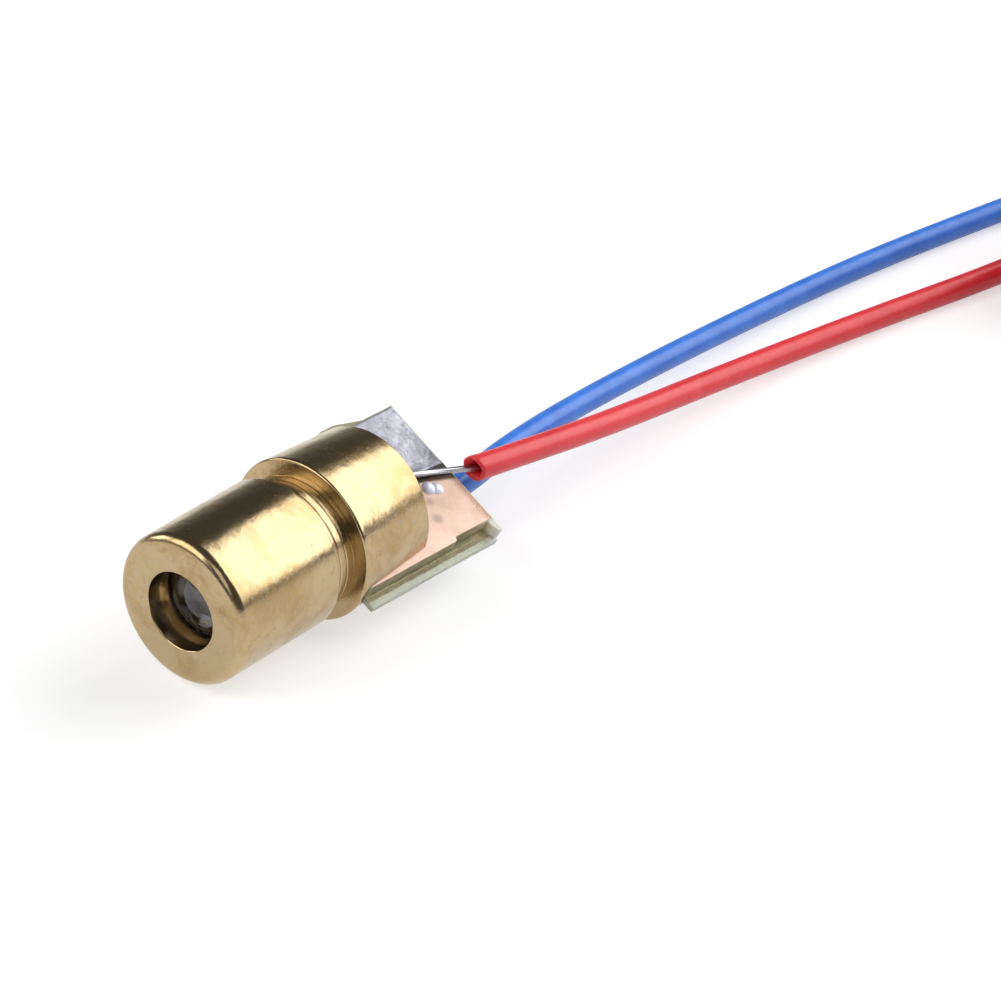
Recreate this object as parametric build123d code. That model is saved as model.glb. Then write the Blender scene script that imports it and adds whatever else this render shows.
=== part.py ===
from build123d import *
import math
import os

# Laser diode module: brass sleeve with a lens, screwed on a slotted brass body that holds a small board.
# Millimetres, +Z up, the beam leaves along -Y. The origin is on the beam axis, at the middle of the
# sleeve's straight wall. The module lies on its shoulder, its two leads run off behind it.

# Front sleeve
barrel_diameter = 6.0
barrel_length = 5.4
nose_edge_radius = 0.32
barrel_rear_edge = 0.08
sleeve_wall = 0.3
nose_wall = 1.1
aperture_lip = 0.45
aperture_edge = 0.1
mouth_edge = 0.1

# Lens
lens_step = 0.66
lens_rim = 0.9
lens_flat = 0.6
lens_dome_height = 0.5
lens_back_height = 0.3
lens_clearance = 0.04
lens_seat_spare = 0.3

# Screw between sleeve and body
thread_clearance = 0.05
thread_engagement = 1.4
neck_wall = 0.85
neck_edge = 0.15
focus_gap = 1.25

# Rear body
shoulder_diameter = 6.5
shoulder_edge = 0.12
tail_diameter = 6.0
tail_edge = 0.06
tail_wall = 0.55
body_length = 3.85
tail_bore_depth = 2.9

# Board
board_thickness = 0.8
board_width = 6.5
board_overhang = 3.7
board_setback = 0.5
board_roll = 28.7
board_turn = 2.3
slot_clearance = 0.08
slot_lead = 0.2
snap_lip = 0.19
snap_ledge = 0.25
snap_margin = 0.03
snap_corner = 0.35
ear_reach = 0.35
ear_setback = 0.05
ear_slope = 0.1
ear_straight = 0.75
ear_taper = 1.3
tongue_clearance = 0.4
tongue_reach = 1.6

# Copper and solder on the board
foil = 0.04
tin_coat = 0.06
field_gap = 0.3
field_setback = 0.1
rear_margin = 0.05
copper_margin = 0.52
copper_step = 0.18
copper_step_length = 1.4
tin_margin = 0.06
strip_margin = 0.35
strip_end_margin = 0.1
blob_radius = 0.4
blob_height = 0.22
blob_across = 0.57
blob_inset = 1.28
joint_radius = 0.55
joint_height = 0.42
strand_lift = 0.05
red_joint_across = -0.62
red_joint_inset = 1.35
blue_joint_across = 0.45
blue_joint_inset = 1.3

# Chip and its block
mount_inset = 0.6
mount_nose = 0.8
mount_foot = 0.9
mount_height = 0.6
mount_gap = 0.05
chip_width = 0.3
chip_length = 0.3
chip_thickness = 0.1
bond_diameter = 0.05
bond_rise = 0.25
bond_reach = 0.3

# Series resistor under the board
resistor_length = 1.6
resistor_width = 0.8
resistor_height = 0.45
cap_length = 0.3
cap_wall = 0.05
resistor_across = -1.9
resistor_inset = 1.3
pad_gap = 0.9
pad_width = 1.2
pad_reach = 0.7
solder_foot = 0.35
solder_rise = 0.3

# Leads
lead_diameter = 1.0
conductor_diameter = 0.28
tip_diameter = 0.5
tip_length = 2.8
tip_angle = 41.0
bend_share = 0.45
coil_radius = 3.2
coil_rise = 1.05
coil_clearance = 0.03
tie_thickness = 0.25
tie_width = 1.2
tie_clearance = 0.1

# Radii about the beam axis
barrel = barrel_diameter / 2
mouth = barrel - sleeve_wall
seat = mouth - lens_step
lens_radius = seat - lens_clearance
aperture = lens_radius - aperture_lip
neck = mouth - thread_clearance
bore = neck - neck_wall
shoulder = shoulder_diameter / 2
tail = tail_diameter / 2
tail_bore = tail - tail_wall

# Lengths along the beam, counted from the nose
wall_middle = (nose_edge_radius + barrel_length - barrel_rear_edge) / 2
shoulder_y = barrel_length + focus_gap
tail_y = shoulder_y + body_length
neck_y = barrel_length - thread_engagement
board_front = shoulder_y + board_setback
board_rear = tail_y + board_overhang
tongue_front = shoulder_y - tongue_reach
field_front = tail_y + field_setback
copper_front = board_front + field_setback
field_rear = board_rear - rear_margin

# Heights and widths in the board's own frame, counted from its middle
board_top = board_thickness / 2
copper_top = board_top + foil
tin_top = board_top + tin_coat
under_face = -board_top - foil
near_copper = board_width / 2 - copper_margin
copper_step_end = field_front + copper_step_length
tongue_half = bore - tongue_clearance
strip_width = tongue_half - field_gap / 2 - strip_margin

beam_frame = Location((0, -wall_middle, 0))
board_frame = beam_frame * Rot(0, board_roll, 0) * Rot(0, 0, -board_turn)
floor_z = -shoulder
lead_floor = floor_z + lead_diameter / 2
lead_tied = lead_floor + tie_thickness + tie_clearance
coil_outer = coil_radius + lead_diameter / 2 + coil_clearance
coil_inner = coil_radius - lead_diameter / 2 - coil_clearance

# Bare ends, in the board's frame: across, along from the nose, and height
strand_height = strand_lift + conductor_diameter / 2
red_strand_end = (red_joint_across, tail_y + red_joint_inset, tin_top + strand_height)
blue_strand_end = (blue_joint_across, board_rear - blue_joint_inset, under_face - strand_height)

# Routes of the leads from the board to their coils
red_route = [
    (1.45, 12.03, -0.11),
    (1.72, 14.79, -0.47),
    (1.85, 20.17, -1.4),
    (1.98, 27.92, -2.43),
    (3.33, 35.83, lead_floor),
    (5.14, 42.76, lead_floor),
    (6.2, 46.8, lead_tied),
]
blue_route = [
    (0.75, 12.68, -1.12),
    (0.02, 16.19, -1.34),
    (-0.56, 21.68, -1.85),
    (-0.75, 29.57, -2.48),
    (0.01, 39.12, lead_floor),
    (1.81, 47.77, lead_floor),
    (4.06, 54.5, lead_tied),
]
red_coil_centre = (9.3, 45.99)
blue_coil_centre = (7.1, 53.48)
red_coil_turn = 1405.0
blue_coil_turn = 1280.0
red_tie_angle = 20.0
blue_tie_angle = 20.0


def turned(outline):
    """Solid of revolution about the beam axis from a half outline of radius and length."""
    return beam_frame * revolve(outline, axis=Axis.Y)


def corner(outline, radius, length):
    """The outline's vertex nearest to a radius and a length."""
    return outline.vertices().sort_by_distance((radius, length, 0))[0]


def on_board(solid):
    """A solid modelled in the board's frame, put where the board is."""
    return board_frame * solid


def slab(across, along, heights):
    """Rectangular block between two values in each direction of the board's frame."""
    size = [high - low for low, high in (across, along, heights)]
    middle = [(high + low) / 2 for low, high in (across, along, heights)]
    return Pos(*middle) * Box(*size)


def cap(radius, height):
    """Low spherical dome standing on the XY plane."""
    rise = (radius**2 - height**2) / (2 * height)
    ball = Pos(0, 0, -rise) * Sphere(rise + height)
    return ball & Cylinder(2 * radius, 2 * height, align=(Align.CENTER, Align.CENTER, Align.MIN))


def front_sleeve():
    seat_end = nose_wall + lens_rim + lens_seat_spare
    outline = Polygon(
        (aperture, 0),
        (barrel, 0),
        (barrel, barrel_length),
        (mouth, barrel_length),
        (mouth, seat_end),
        (seat, seat_end),
        (seat, nose_wall),
        (aperture, nose_wall),
        align=None,
    )
    outline = fillet(corner(outline, barrel, 0), nose_edge_radius)
    outline = chamfer(corner(outline, barrel, barrel_length), barrel_rear_edge)
    outline = chamfer(corner(outline, mouth, barrel_length), mouth_edge)
    outline = chamfer(corner(outline, aperture, 0), aperture_edge)
    return turned(outline)


def collimating_lens():
    front = nose_wall + lens_clearance
    back = front + lens_rim
    dome = lens_radius - lens_flat
    disc = Pos(0, (front + back) / 2, 0) * Rot(90, 0, 0) * Cylinder(lens_radius, lens_rim)
    front_dome = Pos(0, front, 0) * Rot(90, 0, 0) * cap(dome, lens_dome_height)
    back_dome = Pos(0, back, 0) * Rot(-90, 0, 0) * cap(dome, lens_back_height)
    return beam_frame * (disc + front_dome + back_dome)


def rear_body():
    bore_step = tail_y - tail_bore_depth
    outline = Polygon(
        (bore, neck_y),
        (neck, neck_y),
        (neck, shoulder_y),
        (shoulder, shoulder_y),
        (tail, tail_y),
        (tail_bore, tail_y),
        (tail_bore, bore_step),
        (bore, bore_step),
        align=None,
    )
    outline = chamfer(corner(outline, neck, neck_y), neck_edge)
    outline = chamfer(corner(outline, shoulder, shoulder_y), shoulder_edge)
    outline = fillet(corner(outline, tail, tail_y), tail_edge)
    slot = board_thickness / 2 + slot_clearance
    ends = (board_front - slot_lead, board_rear)
    cut = slab((-shoulder_diameter, shoulder_diameter), ends, (-slot, slot))
    return turned(outline) - beam_frame * Rot(0, board_roll, 0) * cut


def circuit_board():
    half = board_width / 2
    thickness = (-board_top, board_top)
    plate = slab((-half, half + snap_lip), (board_front, board_rear), thickness)
    tongue = slab((-tongue_half, tongue_half), (tongue_front, board_front), thickness)
    ear_front = tail_y + ear_setback
    straight_end = ear_front + ear_slope + ear_straight
    ear = Polygon(
        (-half, ear_front),
        (-half - ear_reach, ear_front + ear_slope),
        (-half - ear_reach, straight_end),
        (-half, straight_end + ear_taper),
        align=None,
    )
    ear = Pos(0, 0, -board_top) * extrude(ear, amount=board_thickness, dir=(0, 0, 1))
    # Along the near edge the upper layers are broken away as far as the copper, except at the rear corner.
    upper = (-board_top + snap_ledge, board_top)
    edge = near_copper + snap_margin
    step_edge = edge + copper_step
    corner_front = board_rear - snap_corner
    broken = slab((step_edge, half + snap_lip), (board_front, corner_front), upper)
    broken += slab((edge, step_edge), (copper_step_end, corner_front), upper)
    broken += slab((half, half + snap_lip), (corner_front, board_rear), upper)
    return on_board(plate + tongue + ear - broken)


def copper_field():
    heights = (board_top, copper_top)
    pad = slab((field_gap / 2, near_copper), (copper_front, field_rear), heights)
    pad += slab((near_copper, near_copper + copper_step), (copper_front, copper_step_end), heights)
    strip = slab(
        (field_gap / 2, field_gap / 2 + strip_width),
        (tongue_front + strip_end_margin, copper_front),
        heights,
    )
    return on_board(pad + strip)


def tinned_field():
    far = -board_width / 2 + tin_margin
    return on_board(slab((far, -field_gap / 2), (field_front, field_rear), (board_top, tin_top)))


def underside_fields():
    resistor_y = board_rear - resistor_inset
    heights = (under_face, -board_top)
    inner = resistor_across + pad_gap / 2
    outer = resistor_across - pad_gap / 2
    supply = slab((inner, inner + pad_width + pad_reach), (field_front, field_rear), heights)
    far_pad = slab(
        (outer - pad_reach, outer),
        (resistor_y - pad_width / 2, resistor_y + pad_width / 2),
        heights,
    )
    run = slab((-strip_width / 2, strip_width / 2), (tongue_front, field_front - field_setback), heights)
    branch = slab(
        (outer - pad_reach, strip_width / 2),
        (field_front - field_setback - strip_width / 2, field_front - field_setback),
        heights,
    )
    link = slab((outer - pad_reach, outer), (field_front - field_setback, resistor_y), heights)
    return [on_board(supply), on_board(far_pad + run + branch + link)]


def chip_mount():
    half = tongue_half - mount_inset
    width = (-half, half)
    base = under_face - mount_height
    nose_front = tongue_front - mount_gap - mount_nose
    nose = slab(width, (nose_front, tongue_front - mount_gap), (base, -chip_thickness / 2))
    foot = slab(width, (tongue_front - mount_gap, tongue_front + mount_foot), (base, under_face))
    return on_board(nose + foot)


def chip_place():
    """Across and along of the chip's front middle, where the beam axis meets the block's nose."""
    along = tongue_front - mount_gap - mount_nose
    return -along * math.tan(math.radians(board_turn)), along


def laser_chip():
    across, along = chip_place()
    half = chip_width / 2
    heights = (-chip_thickness / 2, chip_thickness / 2)
    return on_board(slab((across - half, across + half), (along, along + chip_length), heights))


def bond_wire():
    across, along = chip_place()
    start = Vector(across, along + chip_length / 2, chip_thickness / 2 + bond_diameter / 2)
    end_across = field_gap / 2 + strip_width / 2
    end = Vector(end_across, tongue_front + bond_reach, copper_top + bond_diameter / 2)
    top = (start + end) / 2 + Vector(0, 0, bond_rise)
    path = Polyline(start, top, end)
    section = Plane(origin=path @ 0, z_dir=path % 0) * Circle(bond_diameter / 2)
    return on_board(sweep(section, path=path, transition=Transition.RIGHT))


def resistor_parts():
    """Ceramic body, its two end caps and the solder at the caps, lying across the gap."""
    along = board_rear - resistor_inset
    half = resistor_length / 2
    top = under_face
    bottom = under_face - resistor_height
    width = (along - resistor_width / 2, along + resistor_width / 2)
    inner = (resistor_across - half + cap_wall, resistor_across + half - cap_wall)
    core = slab(inner, (width[0] + cap_wall, width[1] - cap_wall), (bottom + cap_wall, top - cap_wall))
    caps = []
    fillets = []
    for side in (-1, 1):
        outer = resistor_across + side * half
        reach = sorted((outer, outer - side * cap_length))
        caps.append(on_board(slab(reach, width, (bottom, top)) - core))
        wedge = Plane.XZ * Polygon(
            (outer, top),
            (outer + side * solder_foot, top),
            (outer, top - solder_rise),
            align=None,
        )
        wedge = Pos(0, width[0], 0) * extrude(wedge, amount=resistor_width, dir=(0, 1, 0))
        fillets.append(on_board(wedge))
    return on_board(core), caps, fillets


def lead_tube(route, name):
    """Insulation along straight runs joined by tangent arcs as large as the runs allow."""
    points = [Vector(*point) for point in route]
    runs = [after - before for before, after in zip(points, points[1:])]
    radii = []
    for run, following in zip(runs, runs[1:]):
        half_turn = math.radians(run.get_angle(following)) / 2
        radii.append(bend_share * min(run.length, following.length) / math.tan(half_turn))
    path = FilletPolyline(*points, radius=radii)
    section = Plane(origin=path @ 0, z_dir=path % 0) * Circle(lead_diameter / 2)
    tube = sweep(section, path=path)
    expected = math.pi * (lead_diameter / 2) ** 2 * path.length
    print(name, "length", round(path.length, 2), "volume ratio", round(tube.volume / expected, 4))
    print(name, "radii", [round(radius, 1) for radius in radii])
    return tube


def bare_strand(board_point, joint, lead_start, tube):
    """Tinned strand from its solder joint to the mouth of the insulation."""
    start = (board_frame * Pos(*board_point)).position
    path = Line(start, Vector(*lead_start))
    section = Plane(origin=path @ 0, z_dir=path % 0) * Circle(conductor_diameter / 2)
    return sweep(section, path=path) - tube - joint


def coil_height(turn):
    """Height of a coil whose turns lie on each other."""
    return lead_diameter + coil_rise * turn / 360


def coil_middle(centre, turn):
    """Middle of a coil that stands on its tie."""
    return Pos(*centre, lead_tied + (coil_height(turn) - lead_diameter) / 2)


def coil_ring(centre, turn):
    """Outer shape of a coil."""
    height = coil_height(turn)
    return coil_middle(centre, turn) * (Cylinder(coil_outer, height) - Cylinder(coil_inner, height))


def lead_tip(centre, route_end, turn):
    """Stripped end inside the coil, where the last turn bends inwards."""
    arrive = math.degrees(math.atan2(route_end[1] - centre[1], route_end[0] - centre[0]))
    angle = arrive - turn
    heading = angle - 90 - tip_angle
    top = lead_tied + coil_rise * turn / 360
    place = Pos(*centre, top) * Rot(0, 0, angle) * Pos(coil_inner, 0, 0)
    return place * Rot(0, 0, heading - angle) * Rot(0, 90, 0) * Cylinder(
        tip_diameter / 2, tip_length, align=(Align.CENTER, Align.CENTER, Align.MIN)
    )


def coil_tie(centre, turn, angle):
    """Flat band round all the turns of a coil at one place."""
    width = coil_outer - coil_inner + 2 * tie_clearance
    height = coil_height(turn) + 2 * tie_clearance
    band = Box(width + 2 * tie_thickness, tie_width, height + 2 * tie_thickness)
    band -= Box(width, tie_width, height)
    return coil_middle(centre, turn) * Rot(0, 0, angle) * Pos(coil_radius, 0, 0) * band


red_tube = lead_tube(red_route, "red_lead")
blue_tube = lead_tube(blue_route, "blue_lead")
red_joint_place = Pos(red_strand_end[0], red_strand_end[1], tin_top)
blue_joint_place = Pos(blue_strand_end[0], blue_strand_end[1], under_face) * Rot(180, 0, 0)
red_joint = on_board(red_joint_place * cap(joint_radius, joint_height))
blue_joint = on_board(blue_joint_place * cap(joint_radius, joint_height))
red_strand = bare_strand(red_strand_end, red_joint, red_route[0], red_tube)
blue_strand = bare_strand(blue_strand_end, blue_joint, blue_route[0], blue_tube)
blob_place = Pos(blob_across, board_rear - blob_inset, copper_top)
resistor_core, resistor_caps, resistor_fillets = resistor_parts()

nodes = {
    "front_sleeve": [front_sleeve()],
    "collimating_lens": [collimating_lens()],
    "rear_body": [rear_body()],
    "circuit_board": [circuit_board()],
    "copper_field": [copper_field()],
    "tinned_field": [tinned_field()],
    "underside_fields": underside_fields(),
    "chip_mount": [chip_mount()],
    "laser_chip": [laser_chip()],
    "bond_wire": [bond_wire()],
    "series_resistor": [resistor_core],
    "resistor_caps": resistor_caps,
    "resistor_solder": resistor_fillets,
    "solder_blob": [on_board(blob_place * cap(blob_radius, blob_height))],
    "red_conductor": [red_strand],
    "solder_joint_red": [red_joint],
    "blue_conductor": [blue_strand],
    "solder_joint_blue": [blue_joint],
    "red_lead": [red_tube],
    "red_coil": [coil_ring(red_coil_centre, red_coil_turn)],
    "red_tip": [lead_tip(red_coil_centre, red_route[-1], red_coil_turn)],
    "blue_lead": [blue_tube],
    "blue_coil": [coil_ring(blue_coil_centre, blue_coil_turn)],
    "blue_tip": [lead_tip(blue_coil_centre, blue_route[-1], blue_coil_turn)],
    "coil_ties": [
        coil_tie(red_coil_centre, red_coil_turn, red_tie_angle),
        coil_tie(blue_coil_centre, blue_coil_turn, blue_tie_angle),
    ],
}

os.makedirs("parts", exist_ok=True)
for name, solids in nodes.items():
    shape = solids[0] if len(solids) == 1 else Compound(children=solids)
    export_step(shape, f"parts/{name}.step")
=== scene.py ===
import math
import bmesh
import bpy
import numpy as np
from mathutils import Matrix, Vector


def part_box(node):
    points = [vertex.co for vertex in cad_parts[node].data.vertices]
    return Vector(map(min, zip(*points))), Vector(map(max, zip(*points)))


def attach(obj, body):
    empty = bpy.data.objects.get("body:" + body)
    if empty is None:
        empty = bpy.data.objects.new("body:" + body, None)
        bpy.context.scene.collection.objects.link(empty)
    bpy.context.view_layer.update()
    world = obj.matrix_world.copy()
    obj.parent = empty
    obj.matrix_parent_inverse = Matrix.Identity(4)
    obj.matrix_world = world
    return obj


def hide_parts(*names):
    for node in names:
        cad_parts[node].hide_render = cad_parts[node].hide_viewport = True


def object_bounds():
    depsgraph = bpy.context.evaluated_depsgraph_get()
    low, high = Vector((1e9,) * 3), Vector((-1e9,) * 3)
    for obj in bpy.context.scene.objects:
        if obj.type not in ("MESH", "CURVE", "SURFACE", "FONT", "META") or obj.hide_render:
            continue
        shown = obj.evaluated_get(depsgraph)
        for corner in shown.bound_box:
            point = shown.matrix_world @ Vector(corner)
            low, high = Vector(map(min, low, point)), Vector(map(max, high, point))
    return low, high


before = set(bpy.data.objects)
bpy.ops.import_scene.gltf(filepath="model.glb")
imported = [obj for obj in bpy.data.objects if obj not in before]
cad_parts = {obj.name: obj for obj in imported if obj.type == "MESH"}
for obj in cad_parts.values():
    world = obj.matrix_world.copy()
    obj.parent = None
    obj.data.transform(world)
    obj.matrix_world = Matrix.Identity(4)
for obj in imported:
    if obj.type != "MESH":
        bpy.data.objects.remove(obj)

cadLow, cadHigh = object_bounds()
scene = bpy.context.scene
scene.view_settings.view_transform = "Standard"
mm = 0.001
fullTurn = 2 * np.pi
print("stage: frame loaded")

# Camera at the photograph's angle
view = {"place": (102.998, -112.701, 89.956), "right": (0.77987, 0.62594, 0.0),
        "up": (-0.30925, 0.38530, 0.86940), "forward": (-0.54421, 0.67805, -0.49408),
        "lens": 174.97, "sensor": 36.0, "clip": (0.01, 10.0)}
cameraData = bpy.data.cameras.new("photoView")
cameraData.lens = view["lens"]
cameraData.sensor_width = view["sensor"]
cameraData.clip_start, cameraData.clip_end = view["clip"]
camera = bpy.data.objects.new("photoView", cameraData)
turn = Matrix((view["right"], view["up"], [-c for c in view["forward"]])).transposed()
camera.matrix_world = Matrix.Translation(Vector(view["place"]) * mm) @ turn.to_4x4()
scene.collection.objects.link(camera)
scene.camera = camera

# The part's own frames: the beam frame counts its length from the nose, the board frame is
# rolled about the beam and turned a little in its plane
board = {"roll": 28.7, "turn": 2.3, "top": 0.4, "ledge": -0.15, "rear": 14.2}
sleeveLow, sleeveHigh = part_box("front_sleeve")
noseY = sleeveLow[1] / mm
boardTurn = np.array(Matrix.Rotation(math.radians(board["roll"]), 3, "Y")
                     @ Matrix.Rotation(math.radians(-board["turn"]), 3, "Z"))
slotTurn = np.array(Matrix.Rotation(math.radians(board["roll"]), 3, "Y"))


def fromBeam(points, turned=None):
    placed = points if turned is None else points @ turned.T
    return (placed + (0, noseY, 0)) * mm


def fromBoard(points):
    return fromBeam(points, boardTurn)


def toBoard(points):
    return (points / mm - (0, noseY, 0)) @ boardTurn


# Mesh helpers
weldDistance = 5e-8
waveFade = 0.7


def gridFaces(rows, columns, closeRows=False, closeColumns=True):
    # Quads between neighbouring rows and columns, wrapped round where closed
    row = np.arange(rows if closeRows else rows - 1)[:, None]
    column = np.arange(columns if closeColumns else columns - 1)[None, :]
    nextRow, nextColumn = (row + 1) % rows, (column + 1) % columns
    corners = [row * columns + column, row * columns + nextColumn,
               nextRow * columns + nextColumn, nextRow * columns + column]
    shape = np.broadcast(row, column).shape
    return np.stack([np.broadcast_to(c, shape) for c in corners], -1).reshape(-1, 4)


def circleAngles(count):
    return np.linspace(0, fullTurn, count, endpoint=False)


def unit(vectors):
    return vectors / np.linalg.norm(vectors, axis=-1, keepdims=True)


def roundCorners(corners, radii, steps):
    # Each corner of a closed outline becomes a circular arc: a rational quadratic between its two
    # tangent points whose middle weight is the sine of half the corner's angle
    corner = np.array(corners, float)
    back = unit(np.roll(corner, 1, 0) - corner)
    ahead = unit(np.roll(corner, -1, 0) - corner)
    half = np.arccos(np.clip((back * ahead).sum(1), -1, 1)) / 2
    reach = (np.array(radii, float) / np.tan(half))[:, None]
    t = np.linspace(0, 1, steps)[None, :, None]
    weights = (1 - t) ** 2, 2 * t * (1 - t) * np.sin(half)[:, None, None], t ** 2
    ends = corner + back * reach, corner, corner + ahead * reach
    total = sum(w * e[:, None, :] for w, e in zip(weights, ends)) / sum(weights)
    return total.reshape(-1, 2)


def aboutBeam(radius, length, angle):
    # Circles about the beam, each point at its radius, length and angle
    radius, length, angle = np.broadcast_arrays(radius, length, angle)
    return np.stack([radius * np.cos(angle), length, radius * np.sin(angle)], -1)


def revolve(profile, segments):
    # One circle for each radius and length of the profile
    return aboutBeam(profile[:, :1], profile[:, 1:], circleAngles(segments)).reshape(-1, 3)


def newPiece(name, islands, material, body, nodes=(), sharp=35):
    # Joins islands of points, quads and any flat caps to one smooth mesh with crisp edges
    points, faces, offset = [], [], 0
    for island, quads, *caps in islands:
        points.append(island)
        faces += (quads + offset).tolist() + [(cap + offset).tolist() for cap in caps]
        offset += len(island)
    mesh = bpy.data.meshes.new(name)
    mesh.from_pydata(np.concatenate(points).tolist(), [], faces)
    work = bmesh.new()
    work.from_mesh(mesh)
    bmesh.ops.remove_doubles(work, verts=work.verts, dist=weldDistance)
    bmesh.ops.recalc_face_normals(work, faces=work.faces)
    work.to_mesh(mesh)
    work.free()
    mesh.polygons.foreach_set("use_smooth", np.ones(len(mesh.polygons), bool))
    mesh.set_sharp_from_angle(angle=math.radians(sharp))
    mesh.materials.append(material)
    piece = bpy.data.objects.new(name, mesh)
    scene.collection.objects.link(piece)
    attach(piece, body)
    if nodes:
        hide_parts(*nodes)
    return piece


def wobble(seed, count, *angles):
    # Smooth repeatable roughness: products of sines of whole-number frequency with fixed random
    # phases, each weaker by a power of its frequency
    pick = np.random.default_rng(seed)
    total = 0
    for k in range(1, count + 1):
        phases = pick.uniform(0, fullTurn, len(angles) + 1)
        wave = 1
        for angle, phase in zip(angles, phases):
            wave = wave * np.sin(k * angle + phase)
        total = total + wave / k ** waveFade
    return total


def tube(path, radius, up, segments):
    # Circle of a radius that may vary with place and angle, carried along a path
    ahead = unit(np.gradient(path, axis=0))
    side = unit(np.cross(ahead, up))
    over = np.cross(side, ahead)
    angle = circleAngles(segments)[None, :, None]
    ring = side[:, None] * np.cos(angle) + over[:, None] * np.sin(angle)
    points = path[:, None] + ring * radius[..., None]
    return points.reshape(-1, 3), gridFaces(len(path), segments)


# Shader helpers: a new node joins the tree of the sockets that feed it
def newMaterial(name, **values):
    material = bpy.data.materials.new(name)
    material.use_nodes = True
    shader = material.node_tree.nodes["Principled BSDF"]
    for key, value in values.items():
        shader.inputs[key.replace("_", " ")].default_value = value
    return material, shader


def isSocket(value):
    return isinstance(value, bpy.types.NodeSocket)


def put(kind, inputs, out=0, **settings):
    tree = next(value.id_data for value in inputs.values() if isSocket(value))
    node = tree.nodes.new(kind)
    for key, value in settings.items():
        setattr(node, key, value)
    for key, value in inputs.items():
        if isSocket(value):
            tree.links.new(value, node.inputs[key])
        else:
            node.inputs[key].default_value = value
    return node.outputs[out]


def coordinates(shader, kind):
    return shader.id_data.nodes.new("ShaderNodeTexCoord").outputs[kind]


def millimetres(shader, **mapping):
    place = coordinates(shader, "Object")
    return put("ShaderNodeMapping", {"Vector": place, "Scale": (1 / mm,) * 3, **mapping})


def boardMillimetres(shader):
    turned = Matrix(boardTurn.T.tolist())
    shift = turned @ Vector((0, -noseY, 0))
    return millimetres(shader, Rotation=turned.to_euler("XYZ"), Location=shift)


def vector(operation, a, b=(0, 0, 0), out=0):
    return put("ShaderNodeVectorMath", {0: a, 1: b}, out, operation=operation)


def noise(place, scale, detail=4.0, roughness=0.55, distortion=0.0):
    if isinstance(scale, tuple):  # one scale for each axis
        place, scale = vector("MULTIPLY", place, scale), 1.0
    return put("ShaderNodeTexNoise", {"Vector": place, "Scale": scale, "Detail": detail,
                                      "Roughness": roughness, "Distortion": distortion})


def ramp(value, low, high, outLow=0.0, outHigh=1.0):
    limits = {"Value": value, "From Min": low, "From Max": high, "To Min": outLow, "To Max": outHigh}
    return put("ShaderNodeMapRange", limits, interpolation_type="SMOOTHSTEP")


def calc(operation, a, b=0.0):
    return put("ShaderNodeMath", {0: a, 1: b}, operation=operation)


def times(first, *others):
    for other in others:
        first = calc("MULTIPLY", first, other)
    return first


def addShare(a, b, share):
    return calc("ADD", a, calc("MULTIPLY", b, share))


def inverse(value):
    return calc("SUBTRACT", 1.0, value)


def blend(factor, *colours):
    a, b = [c if isSocket(c) else (*c, 1) for c in colours]
    return put("ShaderNodeMix", {0: factor, 6: a, 7: b}, 2, data_type="RGBA")


def parts(place):
    return list(put("ShaderNodeSeparateXYZ", {0: place}).node.outputs)


def bump(height, depth):
    return put("ShaderNodeBump", {"Height": height, "Distance": depth * mm, "Strength": 1.0})


def wire(shader, **sockets):
    for key, value in sockets.items():
        shader.id_data.links.new(value, shader.inputs[key.replace("_", " ")])


# Materials. A noise lists its scale, detail, roughness and distortion. A span lists two input limits
# and, where they aren't 0 and 1, two outputs. Depths are in millimetres

# Brass: turned rings run with the length on the walls and with the radius on the flat faces,
# with soft stains, tarnish and dents, and painted shade darkening the bores
brass = {
    "clean": (0.51, 0.39, 0.22), "inside": (0.11, 0.062, 0.025),
    "spots": {  # noise, span and colour
        "stain": ((0.55, 6.0, 0.62, 0.6), (0.42, 0.68), (0.43, 0.30, 0.14)),
        "mottle": ((5.5, 4.0, 0.6), (0.48, 0.76, 0.0, 0.5), (0.46, 0.41, 0.33)),
        "tarnish": (((1.7, 3.4, 1.7), 6.0, 0.68, 1.0), (0.54, 0.72, 0.0, 0.5), (0.31, 0.20, 0.085)),
        "fleck": ((7.0, 2.0, 0.5), (0.73, 0.78, 0.0, 0.6), (0.20, 0.12, 0.05))},
    "fine": ((22.0, 22.0, 1.0), 3.0, 0.7), "wide": ((3.2, 3.2, 1.0), 2.0), "wideShare": 0.6,
    "boreShadeFade": 0.06, "boreShadeShare": 0.85,
    "stainRough": (0.35, 0.7, 0.16, 0.24), "mottleRough": (0.4, 0.8, 0.0, 0.06),
    "dent": (1.7, 3.0, 0.5), "mottleRise": 1.2, "dentRise": 6.0, "depth": 0.0022,
}


def brassMaterial(name, boreRadius, rings):
    material, shader = newMaterial(name, Metallic=1.0)
    place = millimetres(shader)
    x, y, z = parts(place)
    section = put("ShaderNodeCombineXYZ", {"X": x, "Z": z})
    radius = vector("LENGTH", section, out="Value")
    along = put("ShaderNodeCombineXYZ", {"X": y, "Y": radius})
    spots, colour = {}, brass["clean"]
    for kind, (grain, span, tint) in brass["spots"].items():
        spots[kind] = noise(place, *grain)
        colour = blend(ramp(spots[kind], *span), colour, tint)
    # Painted shade: the bores are darkened towards the inside colour
    bore = ramp(radius, boreRadius, boreRadius - brass["boreShadeFade"], 0.0, brass["boreShadeShare"])
    colour = blend(bore, colour, brass["inside"])
    rough = calc("ADD", ramp(spots["stain"], *brass["stainRough"]),
                 ramp(spots["mottle"], *brass["mottleRough"]))
    lines = addShare(noise(along, *brass["fine"]), noise(along, *brass["wide"]),
                     brass["wideShare"])
    height = addShare(times(lines, rings), spots["mottle"], brass["mottleRise"])
    height = addShare(height, noise(place, *brass["dent"]), brass["dentRise"])
    wire(shader, Base_Color=colour, Roughness=rough, Normal=bump(height, brass["depth"]))
    return material
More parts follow.
